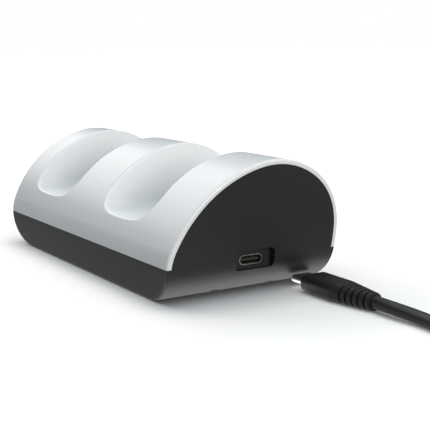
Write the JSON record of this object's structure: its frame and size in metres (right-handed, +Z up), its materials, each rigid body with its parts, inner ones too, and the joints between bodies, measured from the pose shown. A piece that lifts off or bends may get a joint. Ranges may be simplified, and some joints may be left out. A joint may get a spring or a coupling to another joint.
{
  "type": "controller charging dock",
  "caption": "Low arched charging dock: a white shell with two deep cradles that seat game controllers on sprung contacts, a dark base with a power port, and a loose charging cable.",
  "frame": {"origin": "centre of the dock's footprint, on the surface it stands on", "axes": "+Z up; +X along the dock towards its power port; -Y towards the long front slope"},
  "size_m": [0.245, 0.1067, 0.0445],
  "materials": {
    "white_shell": "semi-gloss injection-moulded white",
    "black_base": "fine satin moulded black",
    "socket_metal": "nickel-plated drawn steel",
    "black_insulator": "matte moulded insulator",
    "gold_contact": "gold-plated turned brass",
    "spring_steel": "drawn spring wire",
    "circuit_board": "green solder mask on glass laminate",
    "ferrite": "pressed ferrite",
    "pale_socket": "natural nylon",
    "lead_jacket": "soft wire jacket",
    "foot_rubber": "matte moulded rubber",
    "screw_steel": "zinc-plated steel",
    "black_cable": "matte soft jacket and overmould",
    "strap": "woven hook-and-loop strap"
  },
  "bodies": {
    "dock": {"base_housing": "black_base", "board_chip": "black_insulator", "board_inductor": "ferrite", "cable": "black_cable", "cable_coil": "black_cable", "cable_tail": "black_cable", "cable_tie": "strap", "contact_board_1": "circuit_board", "contact_board_2": "circuit_board", "contact_board_screws": "screw_steel", "contact_insert_1": "black_insulator", "contact_insert_2": "black_insulator", "far_plug_insert": "black_insulator", "far_plug_overmould": "black_cable", "far_plug_shell": "socket_metal", "foot_1": "foot_rubber", "foot_2": "foot_rubber", "foot_3": "foot_rubber", "foot_4": "foot_rubber", "lead_1": "lead_jacket", "lead_2": "lead_jacket", "lead_sockets_1": "pale_socket", "lead_sockets_2": "pale_socket", "main_board": "circuit_board", "main_board_screws": "screw_steel", "pin_barrel_1": "gold_contact", "pin_barrel_2": "gold_contact", "pin_barrel_3": "gold_contact", "pin_barrel_4": "gold_contact", "pin_spring_1": "spring_steel", "pin_spring_2": "spring_steel", "pin_spring_3": "spring_steel", "pin_spring_4": "spring_steel", "plug_overmould": "black_cable", "plug_shell": "socket_metal", "shell_screws": "screw_steel", "top_shell": "white_shell", "usb_receptacle_shell": "socket_metal", "usb_receptacle_tongue": "black_insulator"},
    "pin_1": {"contact_pin_1": "gold_contact"},
    "pin_2": {"contact_pin_2": "gold_contact"},
    "pin_3": {"contact_pin_3": "gold_contact"},
    "pin_4": {"contact_pin_4": "gold_contact"}
  },
  "joints": [
    {"name": "pin_press_1", "type": "slide", "parent": "dock", "child": "pin_1", "axis": [0, 0, -1], "range_m": [0, 0.001], "stiffness_N_per_m": 700, "springref_m": -0.0006, "deforming": ["pin_spring_1"]},
    {"name": "pin_press_2", "type": "slide", "parent": "dock", "child": "pin_2", "axis": [0, 0, -1], "range_m": [0, 0.001], "stiffness_N_per_m": 700, "springref_m": -0.0006, "deforming": ["pin_spring_2"]},
    {"name": "pin_press_3", "type": "slide", "parent": "dock", "child": "pin_3", "axis": [0, 0, -1], "range_m": [0, 0.001], "stiffness_N_per_m": 700, "springref_m": -0.0006, "deforming": ["pin_spring_3"]},
    {"name": "pin_press_4", "type": "slide", "parent": "dock", "child": "pin_4", "axis": [0, 0, -1], "range_m": [0, 0.001], "stiffness_N_per_m": 700, "springref_m": -0.0006, "deforming": ["pin_spring_4"]}
  ]
}
